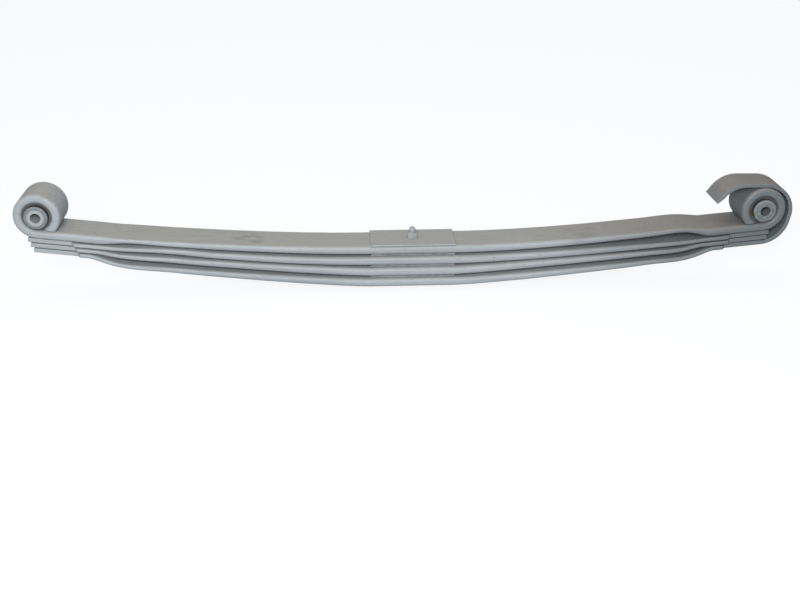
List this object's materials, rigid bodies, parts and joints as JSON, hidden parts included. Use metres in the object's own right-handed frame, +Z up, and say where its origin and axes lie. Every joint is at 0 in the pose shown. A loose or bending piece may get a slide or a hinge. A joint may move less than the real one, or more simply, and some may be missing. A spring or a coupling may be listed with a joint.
{
  "type": "leaf spring",
  "caption": "Parabolic multi-leaf truck spring with rubber bushed rolled eyes, a centre bolt and a lowest leaf that wraps round one eye.",
  "frame": {"origin": "on the centre bolt's axis, in the plane of the axle seat at the underside of the lowest leaf", "axes": "+X along the spring towards the wrapped eye, +Y across the leaves, +Z up, away from the axle"},
  "size_m": [1.5733, 0.104, 0.2197],
  "materials": {
    "leaf_paint": "satin light grey primer over rolled spring steel",
    "plate_paint": "satin light grey primer over steel plate",
    "fastener": "light grey primer over zinc plated steel",
    "pad_plastic": "matte",
    "bush_rubber": "matte moulded rubber, oversprayed grey",
    "sleeve_steel": "light grey primer over steel",
    "tube_steel": "light grey primer over steel, bare in the bore"
  },
  "bodies": {
    "spring": {"main_leaf": "leaf_paint", "second_leaf": "leaf_paint", "third_leaf": "leaf_paint", "wrapper_leaf": "leaf_paint", "top_plate": "plate_paint", "upper_liner": "plate_paint", "middle_liner": "plate_paint", "lower_liner": "plate_paint", "centre_bolt": "fastener", "centre_nut": "fastener", "left_upper_pad": "pad_plastic", "left_middle_pad": "pad_plastic", "left_lower_pad": "pad_plastic", "right_upper_pad": "pad_plastic", "right_middle_pad": "pad_plastic", "right_lower_pad": "pad_plastic", "left_bush_sleeve": "sleeve_steel", "left_bush_rubber": "bush_rubber", "right_bush_sleeve": "sleeve_steel", "right_bush_rubber": "bush_rubber"},
    "left_tube": {"left_bush_tube": "tube_steel"},
    "right_tube": {"right_bush_tube": "tube_steel"}
  },
  "joints": [
    {"name": "left_bush_twist", "type": "hinge", "parent": "spring", "child": "left_tube", "pos_m": [-0.746, 0, 0.1643], "axis": [0, 1, 0], "range_deg": [-20, 20], "stiffness_Nm_per_rad": 60},
    {"name": "right_bush_twist", "type": "hinge", "parent": "spring", "child": "right_tube", "pos_m": [0.719, 0, 0.1546], "axis": [0, 1, 0], "range_deg": [-20, 20], "stiffness_Nm_per_rad": 60}
  ]
}
